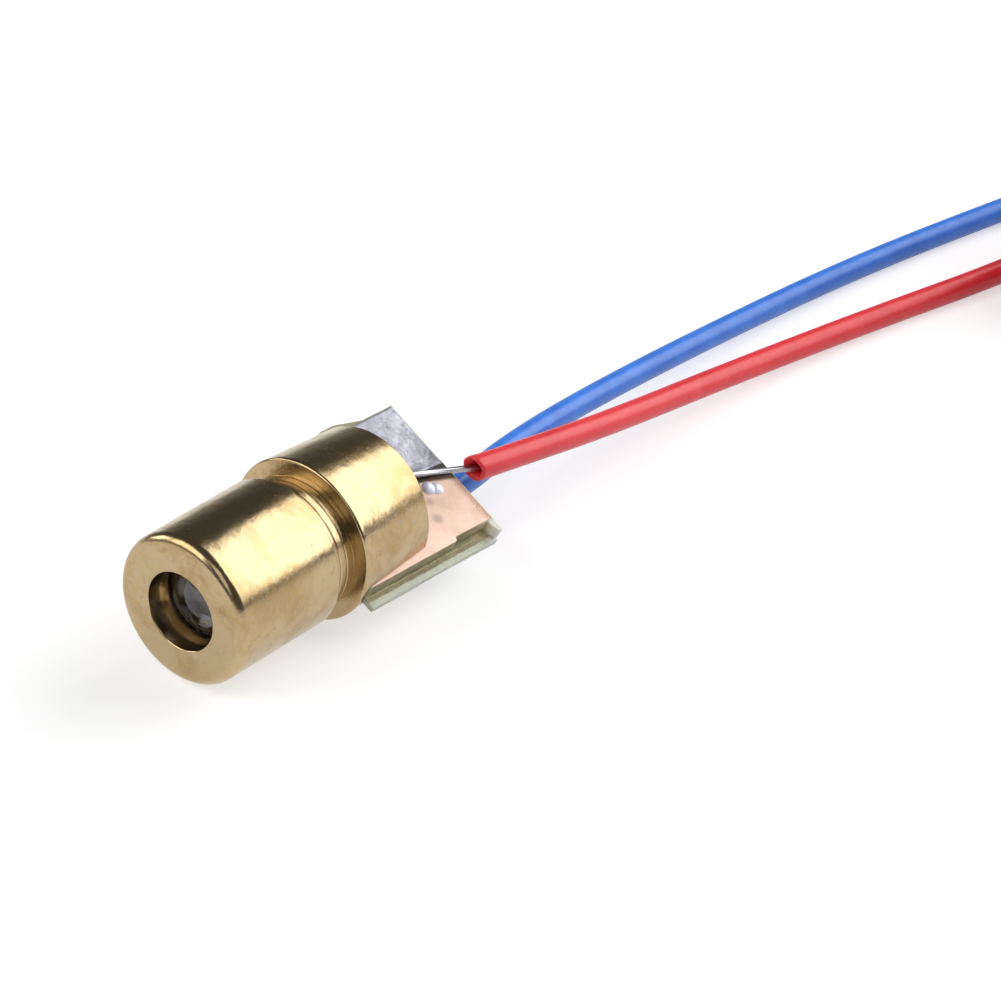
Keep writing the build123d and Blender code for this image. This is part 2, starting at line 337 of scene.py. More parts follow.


# Laminate: pale glass weave that lets light through, olive brown in the broken upper layers along
# the near edge and in the far ear, tan towards the rear corner, with painted light making the corner
# itself near white, and partly scorch, partly painted shade in the gap under the strand
laminate = {
    "pale": (0.82, 0.86, 0.72), "shade": (0.70, 0.75, 0.60), "olive": (0.46, 0.41, 0.26),
    "deep": (0.33, 0.28, 0.17), "resin": (0.84, 0.74, 0.36), "scorchAndShade": (0.05, 0.032, 0.02),
    "tan": (0.74, 0.64, 0.43), "corner": (0.95, 1.0, 0.80),
    "through": 0.7, "throughRadius": (1.0, 1.05, 0.85), "throughScale": 0.4,
    "weave": ((2.0, 14.0, 16.0), 3.0, 0.6), "cross": ((14.0, 2.0, 16.0), 3.0, 0.6), "spot": (3.0, 5.0, 0.6),
    "fibreSpan": (0.45, 0.75), "spotSpan": (0.35, 0.65),
    "tanSpan": (12.9, 13.7, 0.0, 0.85), "upperSpan": (-0.19, -0.16), "nearSpan": (2.62, 2.7),
    "endSpan": (13.95, 13.86), "ragged": 0.16, "edgeSpan": (3.3, 3.22), "earSpan": (-2.95, -3.15),
    "litCornerAlong": (13.6, 13.9), "litCornerAcross": (2.8, 2.95),
    "seamAt": 3.06, "seamSpan": (0.015, 0.05), "seamTop": (-0.1, -0.14),
    "seamWeave": (0.4, 0.62, 0.15, 0.9), "gapSpan": (0.36, 0.26), "gapTop": (0.36, 0.39),
    "roughSpan": (0.3, 0.7, 0.5, 0.75), "spotRise": 0.6, "depth": 0.03,
}


def laminateMaterial():
    material, shader = newMaterial(
        "laminate", IOR=1.5, Subsurface_Weight=laminate["through"],
        Subsurface_Radius=laminate["throughRadius"], Subsurface_Scale=laminate["throughScale"] * mm)
    place = boardMillimetres(shader)
    across, along, height = parts(place)
    weave, cross, spot = [noise(place, *laminate[kind]) for kind in ("weave", "cross", "spot")]
    fibre = calc("MAXIMUM", weave, cross)
    colour = blend(ramp(fibre, *laminate["fibreSpan"]), laminate["shade"], laminate["pale"])
    broken = blend(ramp(spot, *laminate["spotSpan"]), laminate["deep"], laminate["olive"])
    broken = blend(ramp(along, *laminate["tanSpan"]), broken, laminate["tan"])
    upper = ramp(height, *laminate["upperSpan"])
    near = times(ramp(across, *laminate["nearSpan"]), ramp(along, *laminate["endSpan"]))
    ragged = addShare(across, spot, laminate["ragged"])
    edge = times(upper, near, ramp(ragged, *laminate["edgeSpan"]))
    ear = ramp(across, *laminate["earSpan"])
    colour = blend(calc("MAXIMUM", edge, ear), colour, broken)
    # Painted light: the rear corner, lit through the thin laminate, is painted near white
    corner = times(ramp(along, *laminate["litCornerAlong"]),
                   ramp(across, *laminate["litCornerAcross"]), inverse(edge))
    colour = blend(corner, colour, laminate["corner"])
    offSeam = calc("ABSOLUTE", calc("SUBTRACT", ragged, laminate["seamAt"]))
    seam = times(inverse(ramp(offSeam, *laminate["seamSpan"])), near,
                 ramp(height, *laminate["seamTop"]), upper,
                 ramp(weave, *laminate["seamWeave"]))
    colour = blend(seam, colour, laminate["resin"])
    # Partly scorch, partly painted shade: the gap between the tin and copper fields, under the strand, is
    # darkened
    gap = times(ramp(calc("ABSOLUTE", across), *laminate["gapSpan"]),
                ramp(height, *laminate["gapTop"]))
    colour = blend(gap, colour, laminate["scorchAndShade"])
    rough = ramp(spot, *laminate["roughSpan"])
    rise = addShare(fibre, spot, laminate["spotRise"])
    wire(shader, Base_Color=colour, Roughness=rough, Normal=bump(rise, laminate["depth"]))
    return material


# Bare copper: pale and satin, browned along the rear edge, in two stains beside the bead and in
# a band along the strand that is partly scorch and partly painted shadow of the strand
copper = {
    "pale": (0.77, 0.585, 0.49), "warm": (0.71, 0.52, 0.425), "brown": (0.42, 0.26, 0.165),
    "stain": (0.33, 0.24, 0.22), "scorchAndShadow": (0.06, 0.034, 0.022),
    "cloud": (1.6, 5.0, 0.6, 0.4), "grain": (16.0, 4.0, 0.65), "drawn": ((26.0, 1.4, 4.0), 3.0, 0.6),
    "cloudSpan": (0.4, 0.72),
    "rearGrain": 0.8, "rearSpan": (14.15, 14.6, 0.0, 0.85),
    "stains": (((1.0, 12.35, 0.44), 0.26), ((1.75, 12.05, 0.44), 0.32)),
    "stainGrain": 0.35, "stainOuter": 0.2, "stainInner": 0.05, "stainShare": 0.5,
    "strandStart": (-0.45, 11.85, 0.44), "strandSide": (0.932, -0.312, 0.0),
    "scorchAndShadowGrain": 0.16, "scorchAndShadowSpan": (0.47, 0.32, 0.0, 0.92),
    "roughSpan": (0.3, 0.7, 0.56, 0.7), "grainRise": 0.8, "depth": 0.006,
}


def copperMaterial():
    material, shader = newMaterial("copper", Metallic=1.0)
    place = boardMillimetres(shader)
    along = parts(place)[1]
    cloud, grain, drawn = [noise(place, *copper[kind]) for kind in ("cloud", "grain", "drawn")]
    colour = blend(ramp(cloud, *copper["cloudSpan"]), copper["pale"], copper["warm"])
    worn = addShare(along, grain, copper["rearGrain"])
    colour = blend(ramp(worn, *copper["rearSpan"]), colour, copper["brown"])
    for centre, size in copper["stains"]:
        away = vector("LENGTH", vector("SUBTRACT", place, centre), out="Value")
        ragged = addShare(away, grain, copper["stainGrain"])
        share = ramp(ragged, size + copper["stainOuter"], size - copper["stainInner"],
                     0.0, copper["stainShare"])
        colour = blend(share, colour, copper["stain"])
    # Partly scorch, partly painted shadow: a dark band beside the strand's line
    beside = vector("SUBTRACT", place, copper["strandStart"])
    beside = vector("DOT_PRODUCT", beside, copper["strandSide"], out="Value")
    beside = addShare(beside, grain, copper["scorchAndShadowGrain"])
    colour = blend(ramp(beside, *copper["scorchAndShadowSpan"]), colour, copper["scorchAndShadow"])
    rough = ramp(grain, *copper["roughSpan"])
    rise = addShare(drawn, grain, copper["grainRise"])
    wire(shader, Base_Color=colour, Roughness=rough, Normal=bump(rise, copper["depth"]))
    return material


# Solder: grey, mottled and dull where it cooled slowly, darker towards the rear edge by the strand, bright on
# the bead
solder = {
    "light": (0.55, 0.555, 0.62), "dull": (0.40, 0.41, 0.47), "flux": (0.25, 0.215, 0.18),
    "darkRear": (0.15, 0.155, 0.175),
    "cloud": (2.6, 6.0, 0.7, 0.8), "cloudSpan": (0.36, 0.66),
    "grain": (12.0, 4.0, 0.6), "grainSpan": (0.55, 0.75), "fluxShare": 0.45,
    "darkRearAlong": (13.4, 14.2), "darkRearAcross": (-1.8, -0.5),
    "roughGrain": 0.4, "roughSpan": (0.45, 0.95), "grainRise": 0.3, "depth": 0.035, "leastDepth": 0.004,
}


def solderMaterial(name, rough, dull, shine):
    material, shader = newMaterial(name, Metallic=1.0)
    place = boardMillimetres(shader)
    across, along = parts(place)[:2]
    cloud, grain = [noise(place, *solder[kind]) for kind in ("cloud", "grain")]
    light = tuple(shine * c for c in solder["light"])
    colour = blend(ramp(cloud, *solder["cloudSpan"], 0.0, dull), light, solder["dull"])
    flux = ramp(grain, *solder["grainSpan"], 0.0, solder["fluxShare"] * dull)
    colour = blend(flux, colour, solder["flux"])
    # Darker towards the rear edge on the strand's side
    darkRear = times(ramp(along, *solder["darkRearAlong"]),
                  ramp(across, *solder["darkRearAcross"], 0.0, dull))
    colour = blend(darkRear, colour, solder["darkRear"])
    uneven = addShare(cloud, grain, solder["roughGrain"])
    rise = addShare(cloud, grain, solder["grainRise"])
    depth = solder["depth"] * dull + solder["leastDepth"]
    wire(shader, Base_Color=colour, Roughness=ramp(uneven, *solder["roughSpan"], *rough),
         Normal=bump(rise, depth))
    return material


# Insulation: semi-gloss vinyl with a fine drawn skin, uneven colour and small scuffs
vinyl = {
    "red": ((1.0, 0.042, 0.052), (0.88, 0.03, 0.04)), "blue": ((0.052, 0.28, 1.0), (0.036, 0.21, 0.82)),
    "coat": 0.15, "coatRough": 0.25, "cloud": (0.7, 4.0, 0.6), "cloudSpan": (0.3, 0.7),
    "scuff": ((7.0, 1.4, 7.0), 3.0, 0.6), "scuffSpan": (0.66, 0.78, 0.0, 0.25),
    "scuffKeep": 0.6, "scuffLift": 0.3,
    "skin": (9.0, 4.0, 0.6), "roughSpan": (0.3, 0.7, 0.3, 0.46), "depth": 0.008,
}


def vinylMaterial(name, colours):
    material, shader = newMaterial(name, IOR=1.52, Coat_Weight=vinyl["coat"],
                                         Coat_Roughness=vinyl["coatRough"])
    place = millimetres(shader)
    cloud, skin, scuff = [noise(place, *vinyl[kind]) for kind in ("cloud", "skin", "scuff")]
    colour = blend(ramp(cloud, *vinyl["cloudSpan"]), *colours)
    scuffed = tuple(min(1.0, c * vinyl["scuffKeep"] + vinyl["scuffLift"]) for c in colours[0])
    colour = blend(ramp(scuff, *vinyl["scuffSpan"]), colour, scuffed)
    rough = ramp(skin, *vinyl["roughSpan"])
    wire(shader, Base_Color=colour, Roughness=rough, Normal=bump(skin, vinyl["depth"]))
    return material


# Small pieces: one colour, darker in patches, with a fine grain
plain = {"detail": 4.0, "roughness": 0.6, "span": (0.3, 0.7), "shade": 0.72}


def plainMaterial(name, base, metallic, rough, scale, depth):
    material, shader = newMaterial(name, Metallic=metallic)
    grain = noise(millimetres(shader), scale, plain["detail"], plain["roughness"])
    shade = tuple(c * plain["shade"] for c in base)
    wire(shader, Base_Color=blend(ramp(grain, *plain["span"]), shade, base),
         Roughness=ramp(grain, *plain["span"], *rough), Normal=bump(grain, depth))
    return material


# Lens: clear glass with a little dust
glass = {"light": (0.58, 0.61, 0.70), "dark": (0.44, 0.47, 0.56), "dust": (6.0, 5.0, 0.6),
         "tintSpan": (0.4, 0.7), "roughSpan": (0.5, 0.8, 0.01, 0.16)}


def glassMaterial():
    material, shader = newMaterial("lensGlass", Transmission_Weight=1.0, IOR=1.52, Coat_Weight=0.3)
    dust = noise(millimetres(shader), *glass["dust"])
    colour = blend(ramp(dust, *glass["tintSpan"]), glass["light"], glass["dark"])
    wire(shader, Base_Color=colour, Roughness=ramp(dust, *glass["roughSpan"]))
    return material


sleeveBrass = brassMaterial("sleeveBrass", boreRadius=1.56, rings=1.0)
bodyBrass = brassMaterial("bodyBrass", boreRadius=2.0, rings=1.3)
boardLaminate = laminateMaterial()
copperFoil = copperMaterial()
dullSolder = solderMaterial("dullSolder", rough=(0.5, 0.72), dull=0.7, shine=1.0)
brightSolder = solderMaterial("brightSolder", rough=(0.6, 0.72), dull=0.1, shine=1.6)
redVinyl = vinylMaterial("redVinyl", vinyl["red"])
blueVinyl = vinylMaterial("blueVinyl", vinyl["blue"])
tinnedWire = plainMaterial("tinnedWire", (0.52, 0.52, 0.54), 1.0, rough=(0.32, 0.46), scale=11.0, depth=0.006)
plated = plainMaterial("plated", (0.60, 0.57, 0.50), 1.0, rough=(0.22, 0.36), scale=8.0, depth=0.003)
gold = plainMaterial("gold", (0.86, 0.66, 0.26), 1.0, rough=(0.2, 0.3), scale=20.0, depth=0.002)
crystal = plainMaterial("crystal", (0.10, 0.10, 0.13), 0.0, rough=(0.12, 0.2), scale=12.0, depth=0.001)
ceramic = plainMaterial("ceramic", (0.05, 0.05, 0.055), 0.0, rough=(0.3, 0.5), scale=10.0, depth=0.006)
tiePlastic = plainMaterial("tiePlastic", (0.06, 0.06, 0.062), 0.0, rough=(0.42, 0.6), scale=6.0, depth=0.01)
lensGlass = glassMaterial()
print("stage: materials made")

# Leads: the routes of the CAD tubes, then the turns that the coil solids hold
lead = {"radius": 0.5, "setback": 1.1, "floor": -2.75, "tied": -2.4, "coilRadius": 3.2, "coilRise": 1.05,
        "coilClear": 0.03, "step": 24.0, "lastTurn": 30.0, "tipAngle": 41.0, "straight": 0.8,
        "resolution": 14, "roundness": 7}
redRoute = [(1.45, 12.03, -0.11), (1.72, 14.79, -0.47), (1.85, 20.17, -1.4), (1.98, 27.92, -2.43),
            (3.33, 35.83, lead["floor"]), (5.14, 42.76, lead["floor"]), (6.2, 46.8, lead["tied"])]
blueRoute = [(0.46, 10.75, -1.39), (0.48, 12.75, -1.37), (0.02, 16.19, -1.34), (-0.56, 21.68, -1.85),
             (-0.75, 29.57, -2.48), (0.01, 39.12, lead["floor"]), (1.81, 47.77, lead["floor"]),
             (4.06, 54.5, lead["tied"])]
redCoil = {"centre": (9.3, 45.99), "turn": 1405.0, "tie": 20.0}
blueCoil = {"centre": (7.1, 53.48), "turn": 1280.0, "tie": 20.0}
coilOuter = lead["coilRadius"] + lead["radius"] + lead["coilClear"]
coilInner = lead["coilRadius"] - lead["radius"] - lead["coilClear"]


def arrival(route, coil):
    # Angle at which the route meets its coil, in degrees
    x, y = coil["centre"]
    return math.degrees(math.atan2(route[-1][1] - y, route[-1][0] - x))


def onCoil(coil, arrive, turned, radius):
    # A helix, whose height rises evenly with the angle turned
    angle = math.radians(arrive - turned)
    x, y = coil["centre"]
    return np.array((x + radius * math.cos(angle), y + radius * math.sin(angle),
                     lead["tied"] + lead["coilRise"] * turned / 360))


def leadPoints(route, coil):
    # Control points of the cord and the direction of its far end. The turns' points stand outside
    # the coil by one over the cosine of half a step, since the spline cuts inside them
    start, second = np.array(route[0]), np.array(route[1])
    first = start + lead["setback"] * (second - start) / np.linalg.norm(second - start)
    arrive = arrival(route, coil)
    reach = lead["coilRadius"] / math.cos(math.radians(lead["step"] / 2))
    turns = [onCoil(coil, arrive, turned, reach)
             for turned in np.arange(lead["step"], coil["turn"] - lead["lastTurn"], lead["step"])]
    heading = math.radians(arrive - coil["turn"] - 90 - lead["tipAngle"])
    inward = np.array((math.cos(heading), math.sin(heading), 0))
    end = onCoil(coil, arrive, coil["turn"], coilInner)
    return np.array([first, *route[1:], *turns, end - lead["straight"] * inward, end]), inward


def leadCurve(name, points, material, nodes):
    # A circle carried along the spline of the control points
    curve = bpy.data.curves.new(name, "CURVE")
    curve.dimensions = "3D"
    spline = curve.splines.new("NURBS")
    spline.points.add(len(points) - 1)
    spline.points.foreach_set("co", np.column_stack([points * mm, np.ones(len(points))]).ravel())
    spline.order_u = 3
    spline.use_endpoint_u = True
    curve.resolution_u = lead["resolution"]
    curve.bevel_depth = lead["radius"] * mm
    curve.bevel_resolution = lead["roundness"]
    curve.use_fill_caps = True
    curve.materials.append(material)
    piece = bpy.data.objects.new(name, curve)
    scene.collection.objects.link(piece)
    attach(piece, "rear")
    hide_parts(*nodes)
    return piece


# Stripped tips: twisted tinned strands
tip = {"length": 2.8, "inside": 0.5, "radius": 0.23, "strands": 6, "lobe": 0.07, "twist": 2.2,
       "round": 0.2, "rows": 60, "columns": 36}


def leadTip(name, end, inward, node):
    # A lobe for each strand round the bundle, turning with the length, rounded at the end
    s = np.linspace(-tip["inside"], tip["length"], tip["rows"])
    path = (end + s[:, None] * inward) * mm
    angle = circleAngles(tip["columns"])
    lobes = 1 + tip["lobe"] * np.cos(tip["strands"] * angle + tip["twist"] * s[:, None])
    past = ((s - (tip["length"] - tip["round"])) / tip["round"]).clip(0, 1)
    closing = np.sqrt(np.clip(1 - past ** 2, 0, 1))
    closing[0] = 0
    radius = tip["radius"] * mm * lobes * closing[:, None]
    return newPiece(name, [tube(path, radius, (0, 0, 1), tip["columns"])], tinnedWire, "rear",
                    [node])


# Ties: a flat band round the turns that it crosses
tie = {"thick": 0.25, "width": 1.2, "sideClear": 0.06, "endClear": 0.1, "outerCorner": 0.42,
       "innerCorner": 0.17, "cornerSteps": 7}


def coilTie(name, route, coil):
    # Two rounded rectangles, outer and inner, carried across the band's width
    first = (arrival(route, coil) - coil["tie"]) % 360
    last = first + (coil["turn"] - first) // 360 * 360
    wide = (coilOuter - coilInner + tie["sideClear"]) / 2
    high = (2 * lead["radius"] + lead["coilRise"] * (last - first) / 360 + tie["endClear"]) / 2
    middle = lead["tied"] + lead["coilRise"] * (first + last) / 720
    outer, inner = [roundCorners([(-w, -h), (w, -h), (w, h), (-w, h)], [corner] * 4, tie["cornerSteps"])
                    for w, h, corner in ((wide + tie["thick"], high + tie["thick"], tie["outerCorner"]),
                                         (wide, high, tie["innerCorner"]))]
    sides = [np.column_stack([loop[:, 0] + lead["coilRadius"], np.full(len(loop), side * tie["width"]),
                              loop[:, 1]])
             for loop, side in ((outer, -0.5), (outer, 0.5), (inner, 0.5), (inner, -0.5))]
    flat = np.stack(sides, 1).reshape(-1, 3)
    spun = flat @ np.array(Matrix.Rotation(math.radians(coil["tie"]), 3, "Z")).T
    points = (spun + (*coil["centre"], middle)) * mm
    return newPiece(name, [(points, gridFaces(len(outer), len(sides), True))], tiePlastic, "rear",
                    sharp=30)


redPoints, redInward = leadPoints(redRoute, redCoil)
bluePoints, blueInward = leadPoints(blueRoute, blueCoil)
redCord = leadCurve("redCord", redPoints, redVinyl, ["red_lead", "red_coil"])
blueCord = leadCurve("blueCord", bluePoints, blueVinyl, ["blue_lead", "blue_coil"])
redTip = leadTip("redTip", redPoints[-1], redInward, "red_tip")
blueTip = leadTip("blueTip", bluePoints[-1], blueInward, "blue_tip")
redTie = coilTie("redTie", redRoute, redCoil)
blueTie = coilTie("blueTie", blueRoute, blueCoil)
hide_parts("coil_ties")
print("stage: leads laid")

# Front sleeve, revolved: nose with its rounded edge, aperture, lens seat and threaded mouth
sleeve = {"radius": (sleeveHigh[0] - sleeveLow[0]) / 2 / mm, "length": (sleeveHigh[1] - sleeveLow[1]) / mm,
          "aperture": 1.55, "seat": 2.04, "mouth": 2.7, "noseWall": 1.1, "seatEnd": 2.3,
          "noseEdge": 0.4, "apertureEdge": 0.08, "rearEdge": 0.07, "mouthEdge": 0.09, "innerEdge": 0.02,
          "edgeSteps": 12, "columns": 192}
sleeveCorners = [
    (sleeve["aperture"], 0), (sleeve["radius"], 0),
    (sleeve["radius"], sleeve["length"]), (sleeve["mouth"], sleeve["length"]),
    (sleeve["mouth"], sleeve["seatEnd"]), (sleeve["seat"], sleeve["seatEnd"]),
    (sleeve["seat"], sleeve["noseWall"]), (sleeve["aperture"], sleeve["noseWall"])]
sleeveEdges = [sleeve["apertureEdge"], sleeve["noseEdge"], sleeve["rearEdge"], sleeve["mouthEdge"],
               *[sleeve["innerEdge"]] * 4]
sleeveProfile = roundCorners(sleeveCorners, sleeveEdges, sleeve["edgeSteps"])
sleevePoints = fromBeam(revolve(sleeveProfile, sleeve["columns"]))
newPiece("frontSleeve", [(sleevePoints, gridFaces(len(sleeveProfile), sleeve["columns"], True))],
         sleeveBrass, "sleeve", ["front_sleeve"])

# Lens, revolved: flat rim, domed by a square law, more to the front than to the back
lens = {"radius": 2.0, "front": 1.14, "rim": 0.9, "dome": 1.4, "frontHeight": 0.5, "backHeight": 0.3,
        "edge": 0.04, "steps": 20, "columns": 128}
lensBack = lens["front"] + lens["rim"]
outward = np.linspace(0, 1, lens["steps"])
inwards = outward[::-1]
lensProfile = np.concatenate([
    np.column_stack([lens["dome"] * outward, lens["front"] - lens["frontHeight"] * (1 - outward ** 2)]),
    [(lens["radius"] - lens["edge"], lens["front"]), (lens["radius"], lens["front"] + lens["edge"]),
     (lens["radius"], lensBack - lens["edge"]), (lens["radius"] - lens["edge"], lensBack)],
    np.column_stack([lens["dome"] * inwards, lensBack + lens["backHeight"] * (1 - inwards ** 2)])])
lensPoints = fromBeam(revolve(lensProfile, lens["columns"]))
newPiece("lens", [(lensPoints, gridFaces(len(lensProfile), lens["columns"]))],
         lensGlass, "lens_stage", ["collimating_lens"])

# Rear body: a neck whose radius falls by a narrow rounded groove once per pitch and turn, a closed
# front ring, and two jaws behind it either side of the board's slot
body = {"neck": 2.65, "bore": 1.8, "neckFront": 4.0, "neckSink": 0.03, "runIn": 0.15, "runInDrop": 0.12,
        "pitch": 0.35, "threadStart": 0.228, "grooveWidth": 0.3, "grooveDepth": 0.012,
        "neckRows": 260, "neckColumns": 160,
        "shoulderAt": 6.65, "shoulder": 3.25, "shoulderEdge": 0.1, "slotFront": 6.95, "slot": 0.48,
        "end": 10.5, "tail": 3.0, "tailEdge": 0.06, "tailBore": 2.45, "boreStep": 7.6, "stepLength": 0.02,
        "jawColumns": 72, "slotColumns": 9, "edgeSteps": 6, "bevel": 0.035, "bevelAngle": 60}
neckRear = body["shoulderAt"] + body["neckSink"]
neckRows = np.linspace(neckRear, body["neckFront"], body["neckRows"])[:, None]
neckAngle = circleAngles(body["neckColumns"])
phase = neckRows / body["pitch"] + neckAngle / fullTurn - body["threadStart"]
groove = np.cos(np.pi * np.clip(np.abs(phase % 1 - 0.5) / body["grooveWidth"], 0, 0.5)) ** 2
runIn = np.clip((neckRows - body["neckFront"]) / body["runIn"], 0, 1)
neckRadius = body["neck"] - body["grooveDepth"] * groove - body["runInDrop"] * (1 - runIn)
neckOut = aboutBeam(neckRadius, neckRows, neckAngle).reshape(-1, 3)
neckIn = revolve(np.array([(body["bore"], body["neckFront"]), (body["bore"], neckRear)]), body["neckColumns"])
neckIsland = (fromBeam(np.concatenate([neckOut, neckIn])),
              gridFaces(len(neckRows) + 2, body["neckColumns"], True))
edges = np.linspace(0, np.pi / 2, body["edgeSteps"])


def taper(length):
    # Radius of the tail, falling evenly from the shoulder to the end
    share = (length - body["shoulderAt"]) / (body["end"] - body["shoulderAt"])
    return body["shoulder"] + (body["tail"] - body["shoulder"]) * share


def aroundSlot(radius):
    # Angles of one row: over the upper jaw, over the slot, over the lower jaw, over the other slot
    start = np.arcsin(body["slot"] / radius)
    upper = np.linspace(start, np.pi - start, body["jawColumns"])
    slot = np.linspace(-start, start, body["slotColumns"])[1:-1]
    return np.concatenate([upper, slot + np.pi, upper + np.pi, slot + fullTurn])


ringRows = np.array([
    (body["bore"], body["shoulderAt"]),
    *np.column_stack([body["shoulder"] - body["shoulderEdge"] * (1 - np.sin(edges)),
                      body["shoulderAt"] + body["shoulderEdge"] * (1 - np.cos(edges))]),
    (taper(body["slotFront"]), body["slotFront"]), (body["bore"], body["slotFront"])])
ringSlots = np.full(len(ringRows), ringRows[-2, 0])
ringSlots[[0, -1]] = body["bore"]
ringAngles = np.stack([aroundSlot(radius) for radius in ringSlots])
ringPoints = aboutBeam(ringRows[:, :1], ringRows[:, 1:], ringAngles).reshape(-1, 3)
ringColumns = ringAngles.shape[1]
ringFaces = gridFaces(len(ringRows), ringColumns, True).reshape(len(ringRows), ringColumns, 4)
overJaw = (np.arange(ringColumns) % (ringColumns // 2)) < body["jawColumns"] - 1
ringFaces = np.concatenate([*ringFaces[:-2], ringFaces[-2][~overJaw], ringFaces[-1]])
ringIsland = (fromBeam(ringPoints, slotTurn), ringFaces)
boreEnd = body["boreStep"] + body["stepLength"]
jawStations = np.concatenate([
    [(taper(body["slotFront"]), body["slotFront"], body["bore"]),
     (taper(body["boreStep"]), body["boreStep"], body["bore"]), (taper(boreEnd), boreEnd, body["tailBore"])],
    np.column_stack([body["tail"] - body["tailEdge"] * (1 - np.cos(edges)),
                     body["end"] - body["tailEdge"] * (1 - np.sin(edges)),
                     np.full(len(edges), body["tailBore"])])])


def jaw(side):
    # One station: outer arc between the slot's faces, then the inner arc back; open where the ring joins it
    arcs = []
    for radius, step in ((jawStations[:, 0], 1), (jawStations[:, 2], -1)):
        angle = np.stack([aroundSlot(r)[:body["jawColumns"]][::step] for r in radius])
        arcs.append(aboutBeam(radius[:, None], jawStations[:, 1:2], angle) * (1, 1, side))
    loop = np.concatenate(arcs, 1)
    count, columns = loop.shape[:2]
    ends = np.arange(body["jawColumns"] - 1)[:, None] + (count - 1) * columns
    far = 2 * (count - 1) * columns + columns - 1 - ends
    cap = np.concatenate([ends, ends + 1, far - 1, far], 1)
    faces = np.concatenate([gridFaces(count, columns), cap[:, ::-1]])
    return fromBeam(loop.reshape(-1, 3), slotTurn), faces


rearBody = newPiece("rearBody", [neckIsland, ringIsland, jaw(1), jaw(-1)], bodyBrass, "rear",
                    ["rear_body"])
soften = rearBody.modifiers.new("soften", "BEVEL")
soften.width = body["bevel"] * mm
soften.segments = 2
soften.angle_limit = math.radians(body["bevelAngle"])
print("stage: brass made")

# Board: each layer is an outline with rough edges, carried through its thickness
rim = {"levels": 7, "ease": 0.02, "waves": 70, "lift": 2.5, "share": 0.3}


def layer(corners, low, high, roughness, seed, spacing=0.06):
    # The outline, pushed out by waves along it and over its height, eased at top and bottom
    corner = np.array(corners, float)
    runs = np.roll(corner, -1, 0) - corner
    lengths = np.concatenate([[0], np.cumsum(np.linalg.norm(runs, axis=1))])
    along = np.arange(0, lengths[-1], spacing)
    closed = np.concatenate([corner, corner[:1]])
    line = np.column_stack([np.interp(along, lengths, closed[:, k]) for k in (0, 1)])
    ahead = np.roll(line, -1, 0) - np.roll(line, 1, 0)
    out = unit(np.column_stack([ahead[:, 1], -ahead[:, 0]]))
    rough = roughness(line[:, 0], line[:, 1])
    height = np.linspace(high, low, rim["levels"])
    turnAngle = fullTurn * along / lengths[-1]
    ease = np.zeros(rim["levels"])
    ease[[0, -1]] = -rim["ease"]
    waves = wobble(seed, rim["waves"], turnAngle[None, :], rim["lift"] * height[:, None])
    push = ease[:, None] + rough[None, :] * waves * rim["share"]
    flat = line[None] + out[None] * push[..., None]
    level = np.broadcast_to(height[:, None, None], (*push.shape, 1))
    points = np.concatenate([flat, level], -1).reshape(-1, 3)
    count = len(line)
    bottom = np.arange(count)[::-1] + count * (rim["levels"] - 1)
    return fromBoard(points), gridFaces(rim["levels"], count), np.arange(count), bottom


# The near edge is snapped: its upper layers end short of the lower lip, apart from the rear corner
blank = {
    "half": 3.25, "front": 7.15, "tongue": 1.4, "tongueFront": 5.05, "slant": 0.16,
    "earOut": 3.6, "ear": (10.55, 10.65, 11.4, 12.7), "lip": 3.44, "lipShort": 0.02,
    "edge": 2.76, "edgeSlant": 0.04, "stepEdge": 2.94, "stepEnd": 12.0, "stepSlope": 0.12,
    "corner": 3.36, "cornerFront": 13.85, "cornerSlope": 0.14, "split": 0.001,
    "snappedFrom": 2.6, "snapped": 0.05, "sawn": 0.014, "tongueShare": 0.2, "tongueReach": 0.1}
side, front, tongue = blank["half"], blank["front"], blank["tongue"]
lip, edge, corner = blank["lip"], blank["edge"], blank["corner"]
stepEdge, stepEnd = blank["stepEdge"], blank["stepEnd"]
slopeEnd = stepEnd + blank["stepSlope"]
earOut, ear = blank["earOut"], blank["ear"]
farSide = [(-side, board["rear"] + blank["slant"]), (-side, ear[3]), (-earOut, ear[2]),
           (-earOut, ear[1]), (-side, ear[0]), (-side, front), (-tongue, front),
           (-tongue, blank["tongueFront"]), (tongue, blank["tongueFront"]), (tongue, front)]
upperOutline = farSide + [
    (stepEdge, front), (stepEdge, stepEnd), (edge, slopeEnd),
    (edge + blank["edgeSlant"], blank["cornerFront"]),
    (corner, blank["cornerFront"] + blank["cornerSlope"]), (corner, board["rear"])]
lowerOutline = farSide + [(lip, front), (lip, board["rear"] - blank["lipShort"])]


def snapped(across, along):
    # Roughness along the outline: most on the snapped edge, little on the tongue
    share = np.where(along < front + blank["tongueReach"], blank["tongueShare"], 1)
    return np.where(across > blank["snappedFrom"], blank["snapped"], blank["sawn"]) * share


layers = [layer(upperOutline, board["ledge"], board["top"], snapped, seed=3),
          layer(lowerOutline, -board["top"], board["ledge"] - blank["split"], snapped, seed=8)]
newPiece("circuitBoard", layers, boardLaminate, "rear", ["circuit_board"], sharp=40)

